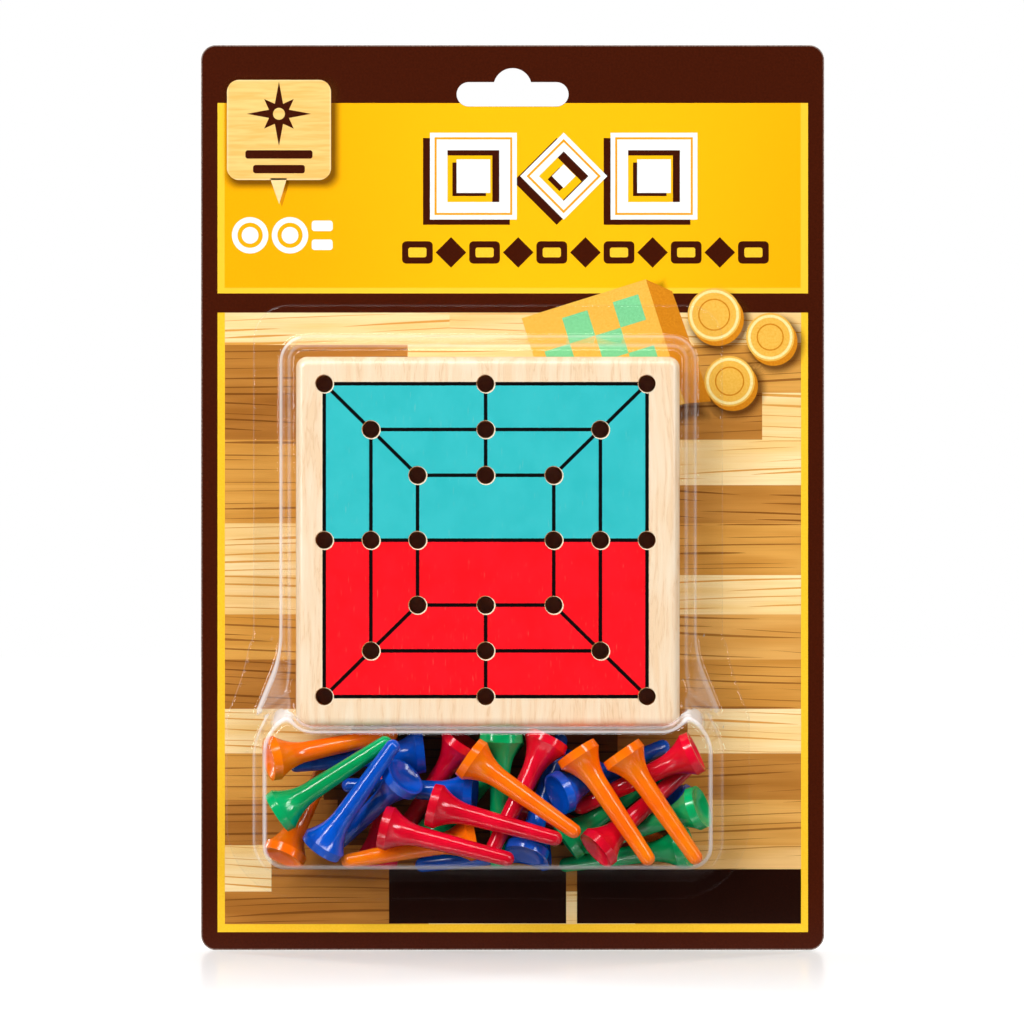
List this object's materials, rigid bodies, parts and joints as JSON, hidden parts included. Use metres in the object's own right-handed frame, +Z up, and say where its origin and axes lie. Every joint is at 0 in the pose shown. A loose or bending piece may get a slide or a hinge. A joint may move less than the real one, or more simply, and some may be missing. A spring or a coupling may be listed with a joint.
{
  "type": "nine mens morris box",
  "caption": "Travel nine mens morris game in a carded blister pack: hang card, clear blister, drilled wooden board, loose tee-shaped pegs.",
  "frame": {"origin": "centre of the hang slot on the card's front face", "axes": "+X to the right of the pack, +Z up the card, -Y out of its front towards the viewer"},
  "size_m": [0.178, 0.0295, 0.2585],
  "materials": {
    "card_print": "printed, satin varnish",
    "blister_film": "clear, glossy",
    "board_wood": "sanded softwood with printed lines",
    "peg_orange": "glossy",
    "peg_green": "glossy",
    "peg_blue": "glossy",
    "peg_red": "glossy"
  },
  "bodies": {
    "card": {"backing_card": "card_print"},
    "blister": {"blister": "blister_film"},
    "board": {"game_board": "board_wood"},
    "pegs": {"peg_blue_1": "peg_blue", "peg_blue_2": "peg_blue", "peg_blue_3": "peg_blue", "peg_blue_4": "peg_blue", "peg_blue_5": "peg_blue", "peg_blue_6": "peg_blue", "peg_blue_7": "peg_blue", "peg_blue_8": "peg_blue", "peg_green_1": "peg_green", "peg_green_2": "peg_green", "peg_green_3": "peg_green", "peg_green_4": "peg_green", "peg_green_5": "peg_green", "peg_green_6": "peg_green", "peg_orange_1": "peg_orange", "peg_orange_2": "peg_orange", "peg_orange_3": "peg_orange", "peg_orange_4": "peg_orange", "peg_orange_5": "peg_orange", "peg_orange_6": "peg_orange", "peg_orange_7": "peg_orange", "peg_red_1": "peg_red", "peg_red_2": "peg_red", "peg_red_3": "peg_red", "peg_red_4": "peg_red", "peg_red_5": "peg_red", "peg_red_6": "peg_red", "peg_red_7": "peg_red", "peg_red_8": "peg_red"}
  },
  "joints": [
    {"name": "blister_lift", "type": "slide", "parent": "card", "child": "blister", "axis": [0, -1, 0], "range_m": [0, 0.1]},
    {"name": "board_lift", "type": "slide", "parent": "card", "child": "board", "axis": [0, -1, 0], "range_m": [0, 0.06]},
    {"name": "pegs_lift", "type": "slide", "parent": "card", "child": "pegs", "axis": [0, -1, 0], "range_m": [0, 0.03]}
  ],
  "couplings": [
    {"joint": "board_lift", "follows": "blister_lift", "ratio": 0.6},
    {"joint": "pegs_lift", "follows": "blister_lift", "ratio": 0.3}
  ]
}
